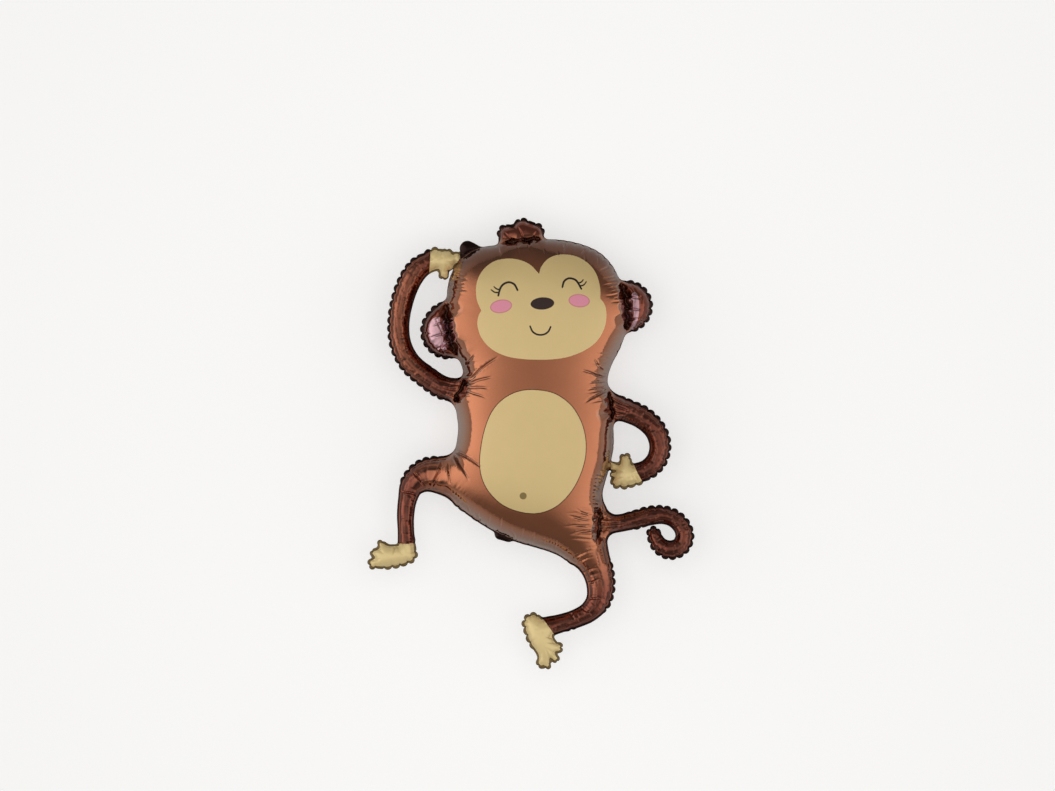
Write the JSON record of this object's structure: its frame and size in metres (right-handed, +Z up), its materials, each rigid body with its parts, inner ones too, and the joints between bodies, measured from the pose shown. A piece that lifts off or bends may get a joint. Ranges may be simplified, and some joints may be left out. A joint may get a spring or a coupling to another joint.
{
  "type": "monkey foil balloon",
  "caption": "Inflated foil balloon shaped as a dancing monkey, with a scalloped sealed seam, curled tail, bent arms and legs, lying on its back.",
  "frame": {"origin": "under the middle of the bounding box, at the surface that the flattened back rests on", "axes": "+Z up out of the face and belly, +Y towards the top of the head, +X towards the side of the tail"},
  "size_m": [0.5636, 0.7804, 0.1896],
  "materials": {
    "foil": "copper-brown metallised film with a printed cream face, belly, hands and feet"
  },
  "bodies": {
    "root": {"foil_balloon": "foil"}
  },
  "joints": []
}
